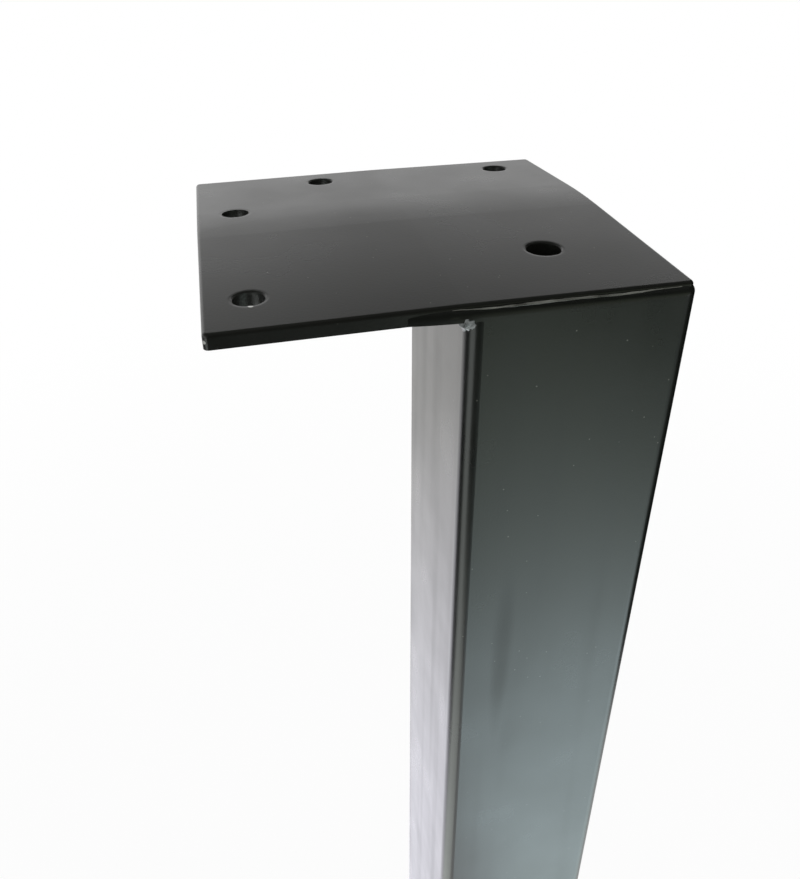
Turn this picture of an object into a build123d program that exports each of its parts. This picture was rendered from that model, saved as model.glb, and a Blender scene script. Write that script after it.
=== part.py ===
from build123d import *
from math import hypot, radians, sin, sqrt, tan
import os

# Adjustable metal table leg: a square steel tube with an offset mounting plate welded
# on top, and a levelling foot that screws into a plastic plug at the bottom.
# Millimetres. Z points up, the origin lies on the tube's axis at floor level,
# the front is -Y and the right is +X. The plate overhangs the tube to the left and back.

# Overall height
height_screwed_in = 710.0  # floor to the plate's top with the foot fully screwed in
foot_screwed_out = 6.0  # how far the foot is screwed out as modelled

# Mounting plate
plate_size = 120.0
plate_thickness = 4.0
plate_corner_radius = 1.5
plate_top_round = 1.0
right_edge_inset = 1.0  # from the tube's right face back to the plate's edge
front_edge_inset = 1.5  # from the tube's front face back to the plate's edge
left_wing_droop = 0.7  # degrees, the wings are drawn down a little by the welds
back_wing_droop = 4.2  # degrees
back_bend_length = 22.0  # from the tube's back face to where the back wing runs straight

# Holes in the mounting plate
screw_hole_diameter = 8.0
screw_hole_edge_distance = 11.5
screw_hole_end_distance = 16.5
screw_hole_spacing = 62.0
vent_hole_diameter = 9.5
hole_rim_chamfer = 0.4

# Square tube
tube_size = 60.0
tube_wall = 2.0
tube_corner_radius = 4.0

# Welds
fillet_weld_leg = 4.0
fillet_weld_bulge = 0.45
fillet_weld_wrap = 35.0  # degrees that the run goes on round the front left corner
weld_end_radius = 2.3
edge_weld_below_top = 0.9  # from the plate's top down to the ground weld
edge_weld_round = 2.2
edge_weld_run_on = 14.0  # how far it goes on past the tube, where it thins out
edge_weld_tip = 0.3  # what is left of its thickness there

# Plastic plug in the bottom of the tube
plug_flange_thickness = 3.0
plug_flange_round = 1.0
plug_shell_gap = 2.0  # between the shell and the tube's inside
plug_shell_wall = 2.2
plug_depth = 30.0
plug_floor_thickness = 2.5
fin_count = 3
fin_thickness = 1.2
fin_clearance = 0.1
fin_first_height = 6.0
fin_pitch = 9.0
boss_diameter = 21.0
boss_ledge = 1.5
plug_rib_thickness = 2.2
stud_passage_diameter = 11.0

# Threaded bush in the plug
bush_diameter = 14.0
bush_length = 16.0
bush_collar_diameter = 17.5
bush_collar_thickness = 1.5
bush_seat_clearance = 0.05

# Foot stud
thread_diameter = 10.0
thread_clearance = 0.05
thread_length = 40.0
thread_end_chamfer = 1.2
wrench_width = 17.0
wrench_height = 6.0
wrench_corner_trim = 0.2  # the hexagon's corners are a little blunt
wrench_corner_chamfer = 0.8
neck_diameter = 9.4
neck_clearance = 0.1
stud_head_diameter = 15.0
stud_head_thickness = 3.0
swivel_gap = 0.3

# Foot base
base_diameter = 44.0
base_rim_height = 4.5
base_top_diameter = 25.0
base_retaining_wall = 4.9
base_rim_chamfer = 1.2
base_top_chamfer = 0.8
head_pocket_clearance = 0.3

# Foot pad
pad_diameter = 38.0
pad_thickness = 2.5
pad_recess = 1.5
pad_clearance = 0.2
pad_chamfer = 0.5

# Two measures nearer than this are the same
same_place = 0.01

# Heights, from the floor up
base_bottom = pad_thickness - pad_recess
base_rim_top = base_bottom + base_rim_height
head_bottom = pad_thickness + swivel_gap
head_top = head_bottom + stud_head_thickness
pocket_top = head_top + swivel_gap
base_top = pocket_top + base_retaining_wall
wrench_bottom = base_top + swivel_gap
wrench_top = wrench_bottom + wrench_height
thread_top = wrench_top + thread_length
plug_bottom = wrench_top + swivel_gap + foot_screwed_out
tube_bottom = plug_bottom + plug_flange_thickness
plate_top = height_screwed_in + foot_screwed_out
tube_top = plate_top - plate_thickness
bush_bottom = plug_bottom + boss_ledge
boss_top = bush_bottom + bush_length - bush_collar_thickness

# Places of the plate's edges
tube_half = tube_size / 2
tube_inside = tube_size - 2 * tube_wall
plate_right = tube_half - right_edge_inset
plate_left = plate_right - plate_size
plate_front = front_edge_inset - tube_half
plate_back = plate_front + plate_size


def upright(outline, bottom, top):
    """An outline drawn on the ground, raised into a prism between two heights."""
    return Pos(0, 0, bottom) * extrude(outline, top - bottom)


def round_bar(diameter, bottom, top):
    return upright(Circle(diameter / 2), bottom, top)


def plate_outline():
    centre = Pos((plate_left + plate_right) / 2, (plate_front + plate_back) / 2)
    return centre * RectangleRounded(plate_size, plate_size, plate_corner_radius)


def drawn_body(top):
    """Everything inside the plate's outline below a surface that is level over the tube,
    bends down behind the tube and drops a little more over the left wing."""
    floor = top - plate_size / 2  # well below the lowest drawn edge
    reach = 2 * plate_size
    bend_end = tube_half + back_bend_length
    bend_drop = back_bend_length * tan(radians(back_wing_droop / 2))
    back_drop = bend_drop + reach * tan(radians(back_wing_droop))
    end_view = make_face([
        Line((-reach, top), (tube_half, top)),
        TangentArc((tube_half, top), (bend_end, top - bend_drop), tangent=(1, 0)),
        Line((bend_end, top - bend_drop), (bend_end + reach, top - back_drop)),
        Line((bend_end + reach, top - back_drop), (bend_end + reach, floor)),
        Line((bend_end + reach, floor), (-reach, floor)),
        Line((-reach, floor), (-reach, top)),
    ])
    end_view = Plane.YZ.offset(-tube_half) * end_view
    over_tube = extrude(end_view, reach)
    left_wing = extrude(end_view, reach, dir=(-1, 0, -tan(radians(left_wing_droop))))
    return upright(plate_outline(), floor, top) & (over_tube + left_wing)


def plate_blank():
    return drawn_body(plate_top) - drawn_body(tube_top)


def fall_at(x, y):
    """How far the drawn surface lies below its level part at a place on the plate."""
    left_fall = max(0.0, -tube_half - x) * tan(radians(left_wing_droop))
    behind = max(0.0, y - tube_half)
    bend_radius = back_bend_length / sin(radians(back_wing_droop))
    in_bend = min(behind, back_bend_length)
    bend_fall = bend_radius - sqrt(bend_radius ** 2 - in_bend ** 2)
    return left_fall + bend_fall + (behind - in_bend) * tan(radians(back_wing_droop))


def screw_hole_places():
    left_row = plate_left + screw_hole_edge_distance
    back_row = plate_back - screw_hole_edge_distance
    first_y = plate_front + screw_hole_end_distance
    first_x = plate_right - screw_hole_end_distance
    return [
        (left_row, first_y),
        (left_row, first_y + screw_hole_spacing),
        (first_x, back_row),
        (first_x - screw_hole_spacing, back_row),
    ]


def border_edges(plate, surface_top):
    """The edges along the plate's outline on the drawn surface whose level part is given."""
    chosen = []
    for edge in plate.edges():
        middle = edge.position_at(0.5)
        border = min(middle.X - plate_left, plate_right - middle.X,
                     middle.Y - plate_front, plate_back - middle.Y)
        height = surface_top - fall_at(middle.X, middle.Y)
        if border < plate_corner_radius / 2 and abs(middle.Z - height) < plate_thickness / 4:
            chosen.append(edge)
    return chosen


def mounting_plate():
    plate = plate_blank()
    plate = fillet(border_edges(plate, plate_top), plate_top_round)
    holes = []
    for x, y in screw_hole_places():
        hole_bottom = tube_top - fall_at(x, y) - plate_thickness / 2
        holes.append(Pos(x, y) * round_bar(screw_hole_diameter, hole_bottom, plate_top))
    holes.append(round_bar(vent_hole_diameter, tube_top, plate_top))
    hole_places = [*screw_hole_places(), (0, 0)]
    plate = plate - holes
    upper_rims = []
    for rim in plate.edges().filter_by(GeomType.LINE, reverse=True):
        centre = rim.center(CenterOf.BOUNDING_BOX)
        at_top = abs(centre.Z - plate_top + fall_at(centre.X, centre.Y)) < plate_thickness / 4
        at_hole = any(hypot(centre.X - x, centre.Y - y) < hole_rim_chamfer for x, y in hole_places)
        if at_top and at_hole:
            upper_rims.append(rim)
    return chamfer(upper_rims, hole_rim_chamfer)


def tube_outline():
    return RectangleRounded(tube_size, tube_size, tube_corner_radius)


def leg_tube():
    bore = RectangleRounded(tube_inside, tube_inside, tube_corner_radius - tube_wall)
    return upright(tube_outline() - bore, tube_bottom, tube_top)


def edge_weld():
    """The weld that fills the step between the plate's front and right edges and the
    tube's faces. It is ground flush with the tube and well rounded at its shoulder, and
    goes on past the tube along the plate's edges, where it thins out."""
    weld_top = plate_top - edge_weld_below_top
    straight_half = tube_half - tube_corner_radius
    run_end = tube_half + edge_weld_run_on
    front_tip = (-run_end, plate_front - edge_weld_tip)
    right_tip = (plate_right + edge_weld_tip, run_end)
    outline = make_face([
        TangentArc((-straight_half, -tube_half), front_tip, tangent=(-1, 0)),
        Line((-straight_half, -tube_half), (straight_half, -tube_half)),
        CenterArc((straight_half, -straight_half), tube_corner_radius, -90, 90),
        Line((tube_half, -straight_half), (tube_half, straight_half)),
        TangentArc((tube_half, straight_half), right_tip, tangent=(0, 1)),
        Line(right_tip, (-run_end, run_end)),
        Line((-run_end, run_end), front_tip),
    ])
    filled = upright(outline, tube_top, weld_top)
    shoulder = []
    for edge in filled.faces().sort_by(Axis.Z)[-1].edges():
        middle = edge.position_at(0.5)
        if middle.Y < plate_front or middle.X > plate_right:
            shoulder.append(edge)
    return fillet(shoulder, edge_weld_round) - plate_blank()


def fillet_weld():
    """The run in the corner under the plate, along the tube's left and back faces. It
    starts in a lump a little way round the tube's front left corner."""
    straight_half = tube_half - tube_corner_radius
    front_corner = (-straight_half, -straight_half, tube_top)
    back_corner = (-straight_half, straight_half, tube_top)
    path = Wire([
        CenterArc(front_corner, tube_corner_radius, 180 + fillet_weld_wrap, -fillet_weld_wrap),
        Line((-tube_half, -straight_half, tube_top), (-tube_half, straight_half, tube_top)),
        CenterArc(back_corner, tube_corner_radius, 180, -90),
        Line((-straight_half, tube_half, tube_top), (straight_half, tube_half, tube_top)),
    ])
    start = path @ 0
    outward = (start - Vector(front_corner)).normalized()
    middle = fillet_weld_leg / 2 + fillet_weld_bulge
    section = make_face([
        Line((0, 0), (fillet_weld_leg, 0)),
        ThreePointArc((fillet_weld_leg, 0), (middle, -middle), (0, -fillet_weld_leg)),
        Line((0, -fillet_weld_leg), (0, 0)),
    ])
    run = sweep(Plane(origin=start, x_dir=outward, z_dir=path % 0) * section, path=path)
    lump_place = start + outward * (fillet_weld_leg / 4) - Vector(0, 0, fillet_weld_leg / 2)
    round_tube = Rectangle(plate_size, plate_size) - tube_outline()
    lump = Pos(lump_place) * Sphere(weld_end_radius)
    lump = lump & upright(round_tube, tube_top - 2 * fillet_weld_leg, tube_top)
    return run + lump - plate_blank()


def tube_plug():
    """Flange that closes the tube, a hollow shell with fins that grip the tube's walls,
    and a boss on ribs that carries the threaded bush."""
    flange = upright(tube_outline(), plug_bottom, tube_bottom)
    flange = fillet(flange.faces().sort_by(Axis.Z)[0].edges(), plug_flange_round)
    shell_size = tube_inside - 2 * plug_shell_gap
    shell_inside = shell_size - 2 * plug_shell_wall
    plug_top = tube_bottom + plug_depth
    shell = upright(Rectangle(shell_size, shell_size), tube_bottom, plug_top)
    shell = shell - upright(Rectangle(shell_inside, shell_inside),
                            plug_bottom + plug_floor_thickness, plug_top)
    fin_size = tube_inside - 2 * fin_clearance
    fin_outline = RectangleRounded(fin_size, fin_size, tube_corner_radius - tube_wall)
    fin_outline = fin_outline - Rectangle(shell_inside, shell_inside)
    fins = []
    for count in range(fin_count):
        fin_bottom = tube_bottom + fin_first_height + count * fin_pitch
        fins.append(upright(fin_outline, fin_bottom, fin_bottom + fin_thickness))
    boss = round_bar(boss_diameter, plug_bottom, boss_top)
    ribs = upright(Rectangle(shell_inside, plug_rib_thickness), plug_bottom + plug_floor_thickness, boss_top)
    ribs = ribs + Rot(0, 0, 90) * ribs
    bush_seat = round_bar(bush_diameter + 2 * bush_seat_clearance, bush_bottom, boss_top)
    stud_passage = round_bar(stud_passage_diameter, plug_bottom, boss_top)
    return flange + shell + fins + boss + ribs - bush_seat - stud_passage


def thread_bush():
    body = round_bar(bush_diameter, bush_bottom, boss_top)
    collar = round_bar(bush_collar_diameter, boss_top, boss_top + bush_collar_thickness)
    bore = round_bar(thread_diameter + 2 * thread_clearance, bush_bottom, boss_top + bush_collar_thickness)
    return body + collar - bore


def foot_stud():
    """Threaded rod, wrench hexagon, neck and the round head that the base traps."""
    thread = round_bar(thread_diameter, wrench_bottom, thread_top)
    thread = chamfer(thread.faces().sort_by(Axis.Z)[-1].edges(), thread_end_chamfer)
    hexagon = upright(RegularPolygon(wrench_width / 2, 6, major_radius=False), wrench_bottom, wrench_top)
    corner_radius = wrench_width / sqrt(3) - wrench_corner_trim
    turned = round_bar(2 * corner_radius, wrench_bottom, wrench_top)
    turned = chamfer(turned.edges().filter_by(GeomType.CIRCLE), wrench_corner_chamfer)
    hexagon = hexagon & turned
    neck = round_bar(neck_diameter, head_bottom, wrench_bottom)
    head = round_bar(stud_head_diameter, head_bottom, head_top)
    return thread + hexagon + neck + head


def ring_edges(body, radius, height):
    """The round edges of a turned body at one radius and one height."""
    return [edge for edge in body.edges().filter_by(GeomType.CIRCLE)
            if abs(edge.radius - radius) < same_place and abs(edge.arc_center.Z - height) < same_place]


def foot_base():
    """Moulded foot, turned about its axis: an upright rim, a sloping flank and a flat top,
    hollow below for the stud's head and the pad."""
    rim = base_diameter / 2
    top = base_top_diameter / 2
    neck_bore = neck_diameter / 2 + neck_clearance
    pocket = stud_head_diameter / 2 + head_pocket_clearance
    pad_seat = pad_diameter / 2 + pad_clearance
    half_section = make_face([
        Line((pad_seat, base_bottom), (rim, base_bottom)),
        Line((rim, base_bottom), (rim, base_rim_top)),
        Line((rim, base_rim_top), (top, base_top)),
        Line((top, base_top), (neck_bore, base_top)),
        Line((neck_bore, base_top), (neck_bore, pocket_top)),
        Line((neck_bore, pocket_top), (pocket, pocket_top)),
        Line((pocket, pocket_top), (pocket, pad_thickness)),
        Line((pocket, pad_thickness), (pad_seat, pad_thickness)),
        Line((pad_seat, pad_thickness), (pad_seat, base_bottom)),
    ])
    base = revolve(Plane.XZ * half_section, Axis.Z)
    base = chamfer(ring_edges(base, rim, base_rim_top), base_rim_chamfer)
    return chamfer(ring_edges(base, top, base_top), base_top_chamfer)


def foot_pad():
    pad = round_bar(pad_diameter, 0, pad_thickness)
    return chamfer(pad.faces().sort_by(Axis.Z)[0].edges(), pad_chamfer)


shapes = {
    "mounting_plate": mounting_plate(),
    "leg_tube": leg_tube(),
    "edge_weld": edge_weld(),
    "fillet_weld": fillet_weld(),
    "tube_plug": tube_plug(),
    "thread_bush": thread_bush(),
    "foot_stud": foot_stud(),
    "foot_base": foot_base(),
    "foot_pad": foot_pad(),
}
os.makedirs("parts", exist_ok=True)
for node, shape in shapes.items():
    export_step(shape, f"parts/{node}.step")
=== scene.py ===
from math import atan2, cos, pi, radians, sin, sqrt, tan

import bmesh
import bpy
from mathutils import Matrix, Vector, noise


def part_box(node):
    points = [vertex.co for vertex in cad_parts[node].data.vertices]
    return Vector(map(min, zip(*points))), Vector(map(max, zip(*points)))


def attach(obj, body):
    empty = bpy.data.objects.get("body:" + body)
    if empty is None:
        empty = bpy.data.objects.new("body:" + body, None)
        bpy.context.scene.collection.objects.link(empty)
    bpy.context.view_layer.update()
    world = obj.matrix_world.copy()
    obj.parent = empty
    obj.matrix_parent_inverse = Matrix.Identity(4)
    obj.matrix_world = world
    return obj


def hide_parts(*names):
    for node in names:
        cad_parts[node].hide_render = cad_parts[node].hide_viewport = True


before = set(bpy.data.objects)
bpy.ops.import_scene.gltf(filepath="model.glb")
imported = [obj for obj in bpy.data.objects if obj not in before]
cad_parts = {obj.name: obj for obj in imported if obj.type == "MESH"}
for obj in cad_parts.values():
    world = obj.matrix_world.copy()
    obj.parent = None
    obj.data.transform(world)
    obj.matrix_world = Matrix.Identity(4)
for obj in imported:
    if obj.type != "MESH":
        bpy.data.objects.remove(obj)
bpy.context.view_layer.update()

# An adjustable metal table leg: a black powder-coated square tube with a mounting plate
# welded on top, and a levelling foot that screws into a plastic plug.
# Metres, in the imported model's frame: Z up, the front is -Y, the right is +X.

mm = 0.001

# Sizes that the pieces below share with the solids
tube_half = 30.0 * mm
tube_corner_radius = 4.0 * mm
corner_centre = tube_half - tube_corner_radius  # of each rounded corner, out from the axis
tube_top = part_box("leg_tube")[1][2]
stud_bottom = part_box("foot_stud")[0][2]
stud_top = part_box("foot_stud")[1][2]


def linear(hex_colour):
    """An sRGB hex colour as linear red, green, blue and alpha."""
    channels = []
    for start in (1, 3, 5):
        share = int(hex_colour[start:start + 2], 16) / 255
        channels.append(share / 12.92 if share <= 0.04045 else ((share + 0.055) / 1.055) ** 2.4)
    return (*channels, 1.0)


def add(tree, kind, inputs=(), **settings):
    """Adds a node, sets what it says about itself, and sets or links its inputs."""
    node = tree.nodes.new(kind)
    for name, value in settings.items():
        setattr(node, name, value)
    for socket, value in dict(inputs).items():
        if isinstance(value, bpy.types.NodeSocket):
            tree.links.new(value, node.inputs[socket])
        else:
            node.inputs[socket].default_value = value
    return node


def finish_coat(name):
    """A new material and its node tree, emptied for the finish to fill."""
    material = bpy.data.materials.new(name)
    material.use_nodes = True
    material.node_tree.nodes.clear()
    return material, material.node_tree


# Finishes

noise_low, noise_high = 0.3, 0.7  # nearly all of a noise pattern lies between these

# Powder coat: roughness of its film, and the wear and faults that it shows
film_sheen, film_dullness = 0.26, 0.32
nib_spacing = 5 * mm
nib_edge, nib_top = 0.05, 0.03  # in spacings, so that a dust nib is 0.3 mm across
# Dust nibs are grey; the primer's pale grey also stands for a painted highlight on a drilled rim
nib_grey, primer_and_highlight_grey = "#5c5d58", "#a8a9a4"
pale_core = 0.7  # the share of a pale spot's radius that is fully pale
streak_onset, streak_full, streak_dullness = 0.5, 0.8, 0.04
rub_edge, rub_heart, rub_raggedness, rub_dullness = 1.4, 0.5, 0.8, 0.12
rim_start, rim_end = 0.3 * mm, 1.1 * mm  # from a hole's wall, where the film rolls away
bore_edge, bore_dullness = 0.05 * mm, 0.36


def powder_coat(name, dark, light, patch=30.0 * mm, holes=(), rolled=0.0, ground=0.0, pale_spots=()):
    """Satin black polyester powder, baked on steel. The eye sees deep black with a soft sheen,
    a fine orange peel and a few dust nibs, and the steel under it only as faint lines."""
    material, tree = finish_coat(name)
    place = add(tree, "ShaderNodeTexCoord").outputs["Object"]
    # Film thickness drifts from patch to patch and shifts the black a little
    drift = add(tree, "ShaderNodeTexNoise",
                {"Vector": place, "Scale": 1 / patch, "Detail": 3.0, "Roughness": 0.55})
    spread = add(tree, "ShaderNodeMapRange",
                 {"Value": drift.outputs["Fac"], "From Min": noise_low, "From Max": noise_high})
    colour = add(tree, "ShaderNodeMix",
                 {"Factor": spread.outputs["Result"], 6: linear(dark), 7: linear(light)},
                 data_type="RGBA").outputs[2]
    # Dust baked into the film
    cells = add(tree, "ShaderNodeTexVoronoi", {"Vector": place, "Scale": 1 / nib_spacing})
    nib = add(tree, "ShaderNodeMapRange",
              {"Value": cells.outputs["Distance"], "From Min": nib_edge, "From Max": nib_top})
    colour = add(tree, "ShaderNodeMix",
                 {"Factor": nib.outputs["Result"], 6: colour, 7: linear(nib_grey)},
                 data_type="RGBA").outputs[2]
    for x, y, z, radius in pale_spots:
        # A pale spot: at a knocked edge a chip that shows the pale primer, on a drilled rim a
        # painted highlight
        away = add(tree, "ShaderNodeVectorMath", {0: place, 1: (x, y, z)}, operation="DISTANCE")
        pale_spot = add(tree, "ShaderNodeMapRange",
                   {"Value": away.outputs["Value"],
                    "From Min": radius, "From Max": pale_core * radius})
        colour = add(tree, "ShaderNodeMix",
                     {"Factor": pale_spot.outputs["Result"], 6: colour, 7: linear(primer_and_highlight_grey)},
                     data_type="RGBA").outputs[2]
    sheen = add(tree, "ShaderNodeMapRange",
                {"Value": drift.outputs["Fac"], "From Min": noise_low, "From Max": noise_high,
                 "To Min": film_sheen, "To Max": film_dullness}).outputs["Result"]
    if rolled:
        # Drawing dies leave the film a little duller in a few long streaks
        drawn = add(tree, "ShaderNodeMapping", {"Vector": place, "Scale": (1.0, 1.0, 0.04)})
        streaks = add(tree, "ShaderNodeTexNoise",
                      {"Vector": drawn.outputs["Vector"], "Scale": 1 / (7 * mm),
                       "Detail": 1.0, "Roughness": 0.5})
        dull = add(tree, "ShaderNodeMapRange",
                   {"Value": streaks.outputs["Fac"], "From Min": streak_onset,
                    "From Max": streak_full, "To Min": 0.0, "To Max": streak_dullness})
        sheen = add(tree, "ShaderNodeMath", {0: sheen, 1: dull.outputs["Result"]},
                    operation="ADD").outputs[0]
        # One rubbed streak down the front, which the photograph shows near the left corner
        from_rub = add(tree, "ShaderNodeVectorMath", {0: place, 1: rubbed_place},
                       operation="SUBTRACT")
        shrunk = add(tree, "ShaderNodeVectorMath", {0: from_rub.outputs[0], 1: rubbed_reach},
                     operation="DIVIDE")
        distance = add(tree, "ShaderNodeVectorMath", {0: shrunk.outputs[0]}, operation="LENGTH")
        uneven = add(tree, "ShaderNodeMath",
                     {0: streaks.outputs["Fac"], 1: rub_raggedness, 2: distance.outputs["Value"]},
                     operation="MULTIPLY_ADD")
        rub = add(tree, "ShaderNodeMapRange",
                  {"Value": uneven.outputs[0], "From Min": rub_edge, "From Max": rub_heart,
                   "To Min": 0.0, "To Max": rub_dullness}, interpolation_type="SMOOTHSTEP")
        sheen = add(tree, "ShaderNodeMath", {0: sheen, 1: rub.outputs["Result"]},
                    operation="ADD").outputs[0]
    # Orange peel: real powder lies in waves of about 0.7 mm, a few micrometres high
    peel = add(tree, "ShaderNodeTexNoise",
               {"Vector": place, "Scale": 1 / (0.7 * mm), "Detail": 2.0, "Roughness": 0.6})
    bump = add(tree, "ShaderNodeBump",
               {"Height": peel.outputs["Fac"], "Strength": 1.0, "Distance": 0.018 * mm})
    if holes:
        # The film draws back from a drilled rim, so the last millimetre rolls away
        nearest = None
        for x, y, radius in holes:
            flat = add(tree, "ShaderNodeVectorMath", {0: place, 1: (1, 1, 0)},
                       operation="MULTIPLY")
            away = add(tree, "ShaderNodeVectorMath", {0: flat.outputs[0], 1: (x, y, 0)},
                       operation="DISTANCE")
            from_rim = add(tree, "ShaderNodeMath", {0: away.outputs["Value"], 1: radius},
                           operation="SUBTRACT").outputs[0]
            if nearest:
                from_rim = add(tree, "ShaderNodeMath", {0: nearest, 1: from_rim},
                               operation="MINIMUM").outputs[0]
            nearest = from_rim
        roll = add(tree, "ShaderNodeMapRange",
                   {"Value": nearest, "From Min": rim_start, "From Max": rim_end},
                   interpolation_type="SMOOTHSTEP")
        bump = add(tree, "ShaderNodeBump",
                   {"Height": roll.outputs["Result"], "Strength": 1.0, "Distance": 0.06 * mm,
                    "Normal": bump.outputs["Normal"]})
        # Powder reaches the bore only as a thin dry spray over the drill's marks
        bore = add(tree, "ShaderNodeMapRange",
                   {"Value": nearest, "From Min": rim_start, "From Max": bore_edge})
        sheen = add(tree, "ShaderNodeMix",
                    {"Factor": bore.outputs["Result"], 2: sheen, 3: bore_dullness},
                    data_type="FLOAT").outputs[0]
        spray = add(tree, "ShaderNodeTexNoise",
                    {"Vector": place, "Scale": 1 / (0.9 * mm), "Detail": 3.0, "Roughness": 0.65})
        dry = add(tree, "ShaderNodeMath", {0: spray.outputs["Fac"], 1: bore.outputs["Result"]},
                  operation="MULTIPLY")
        bump = add(tree, "ShaderNodeBump",
                   {"Height": dry.outputs[0], "Strength": 1.0, "Distance": 0.12 * mm,
                    "Normal": bump.outputs["Normal"]})
    coat = add(tree, "ShaderNodeBsdfPrincipled",
               {"Base Color": colour, "Roughness": sheen, "IOR": 1.5})
    if rolled:
        # The tube's steel is rolled along its length, which leaves long shallow waves
        stretched = add(tree, "ShaderNodeMapping", {"Vector": place, "Scale": (1.0, 1.0, 0.015)})
        waves = add(tree, "ShaderNodeTexNoise",
                    {"Vector": stretched.outputs["Vector"], "Scale": 1 / (9 * mm),
                     "Detail": 2.0, "Roughness": 0.6})
        bump = add(tree, "ShaderNodeBump",
                   {"Height": waves.outputs["Fac"], "Strength": 1.0, "Distance": rolled,
                    "Normal": bump.outputs["Normal"]})
    if ground:
        # The weld is ground flush by a flap disc, whose marks run along the edge
        along_edge = add(tree, "ShaderNodeMapping", {"Vector": place, "Scale": (0.12, 0.12, 1.0)})
        marks = add(tree, "ShaderNodeTexNoise",
                    {"Vector": along_edge.outputs["Vector"], "Scale": 1 / (0.5 * mm),
                     "Detail": 2.0, "Roughness": 0.5})
        bump = add(tree, "ShaderNodeBump",
                   {"Height": marks.outputs["Fac"], "Strength": 1.0, "Distance": ground,
                    "Normal": bump.outputs["Normal"]})
    tree.links.new(bump.outputs["Normal"], coat.inputs["Normal"])
    add(tree, "ShaderNodeOutputMaterial", {"Surface": coat.outputs["BSDF"]})
    return material


def moulded_polypropylene(name):
    """Black polypropylene from a spark-eroded mould: a dull, finely pitted black."""
    material, tree = finish_coat(name)
    place = add(tree, "ShaderNodeTexCoord").outputs["Object"]
    pits = add(tree, "ShaderNodeTexNoise",
               {"Vector": place, "Scale": 1 / (0.35 * mm), "Detail": 2.0, "Roughness": 0.6})
    flow = add(tree, "ShaderNodeTexNoise",
               {"Vector": place, "Scale": 1 / (14 * mm), "Detail": 2.0, "Distortion": 0.8})
    colour = add(tree, "ShaderNodeMix",
                 {"Factor": flow.outputs["Fac"], 6: linear("#1e1f20"), 7: linear("#2a2b2c")},
                 data_type="RGBA")
    dullness = add(tree, "ShaderNodeMapRange",
                   {"Value": flow.outputs["Fac"], "To Min": 0.48, "To Max": 0.62})
    plastic = add(tree, "ShaderNodeBsdfPrincipled",
                  {"Base Color": colour.outputs[2], "Roughness": dullness.outputs["Result"],
                   "IOR": 1.49})
    bump = add(tree, "ShaderNodeBump",
               {"Height": pits.outputs["Fac"], "Strength": 1.0, "Distance": 0.02 * mm})
    tree.links.new(bump.outputs["Normal"], plastic.inputs["Normal"])
    add(tree, "ShaderNodeOutputMaterial", {"Surface": plastic.outputs["BSDF"]})
    return material


def bright_zinc(name):
    """Zinc plate on turned steel: a bluish silver with turning lines and duller patches."""
    material, tree = finish_coat(name)
    place = add(tree, "ShaderNodeTexCoord").outputs["Object"]
    rings = add(tree, "ShaderNodeMapping", {"Vector": place, "Scale": (0.02, 0.02, 1.0)})
    turning = add(tree, "ShaderNodeTexNoise",
                  {"Vector": rings.outputs["Vector"], "Scale": 1 / (0.25 * mm), "Detail": 2.0})
    patches = add(tree, "ShaderNodeTexNoise",
                  {"Vector": place, "Scale": 1 / (3 * mm), "Detail": 4.0, "Roughness": 0.6})
    colour = add(tree, "ShaderNodeMix",
                 {"Factor": patches.outputs["Fac"], 6: linear("#b9bec6"), 7: linear("#d8dade")},
                 data_type="RGBA")
    dullness = add(tree, "ShaderNodeMapRange",
                   {"Value": patches.outputs["Fac"], "From Min": noise_low,
                    "From Max": noise_high, "To Min": 0.24, "To Max": 0.42})
    zinc = add(tree, "ShaderNodeBsdfPrincipled",
               {"Base Color": colour.outputs[2], "Roughness": dullness.outputs["Result"],
                "Metallic": 1.0})
    bump = add(tree, "ShaderNodeBump",
               {"Height": turning.outputs["Fac"], "Strength": 1.0, "Distance": 0.006 * mm})
    tree.links.new(bump.outputs["Normal"], zinc.inputs["Normal"])
    add(tree, "ShaderNodeOutputMaterial", {"Surface": zinc.outputs["BSDF"]})
    return material


def foot_rubber(name):
    """Moulded rubber: a flat, dusty black with a coarse grain that scuffs lighter."""
    material, tree = finish_coat(name)
    place = add(tree, "ShaderNodeTexCoord").outputs["Object"]
    grain = add(tree, "ShaderNodeTexVoronoi", {"Vector": place, "Scale": 1 / (0.6 * mm)})
    dust = add(tree, "ShaderNodeTexNoise",
               {"Vector": place, "Scale": 1 / (6 * mm), "Detail": 5.0, "Roughness": 0.65})
    colour = add(tree, "ShaderNodeMix",
                 {"Factor": dust.outputs["Fac"], 6: linear("#262626"), 7: linear("#3c3b3a")},
                 data_type="RGBA")
    dullness = add(tree, "ShaderNodeMapRange",
                   {"Value": dust.outputs["Fac"], "To Min": 0.75, "To Max": 0.92})
    rubber = add(tree, "ShaderNodeBsdfPrincipled",
                 {"Base Color": colour.outputs[2], "Roughness": dullness.outputs["Result"],
                  "IOR": 1.52})
    bump = add(tree, "ShaderNodeBump",
               {"Height": grain.outputs["Distance"], "Strength": 0.8, "Distance": 0.05 * mm})
    tree.links.new(bump.outputs["Normal"], rubber.inputs["Normal"])
    add(tree, "ShaderNodeOutputMaterial", {"Surface": rubber.outputs["BSDF"]})
    return material


# Drilled holes as x, y and radius: four for screws and the vent over the tube
drilled = [(-79.5 * mm, -12.0 * mm, 4.0 * mm), (-79.5 * mm, 50.0 * mm, 4.0 * mm),
           (12.5 * mm, 80.0 * mm, 4.0 * mm), (-49.5 * mm, 80.0 * mm, 4.0 * mm),
           (0.0, 0.0, 4.75 * mm)]

# Two pale spots as x, y, z and radius, a chip and a painted highlight on a hole's near rim, and a
# rubbed streak on the tube
knocked_corner = (-90.6 * mm, -28.0 * mm, 713.2 * mm, 0.55 * mm)
# A painted highlight on the front left hole's near rim
rim_highlight_spot = (-79.3 * mm, -16.5 * mm, 715.4 * mm, 0.7 * mm)
rubbed_place = (-14.0 * mm, -30.0 * mm, 598.0 * mm)
rubbed_reach = (4.5 * mm, 6.0 * mm, 45.0 * mm)

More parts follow.
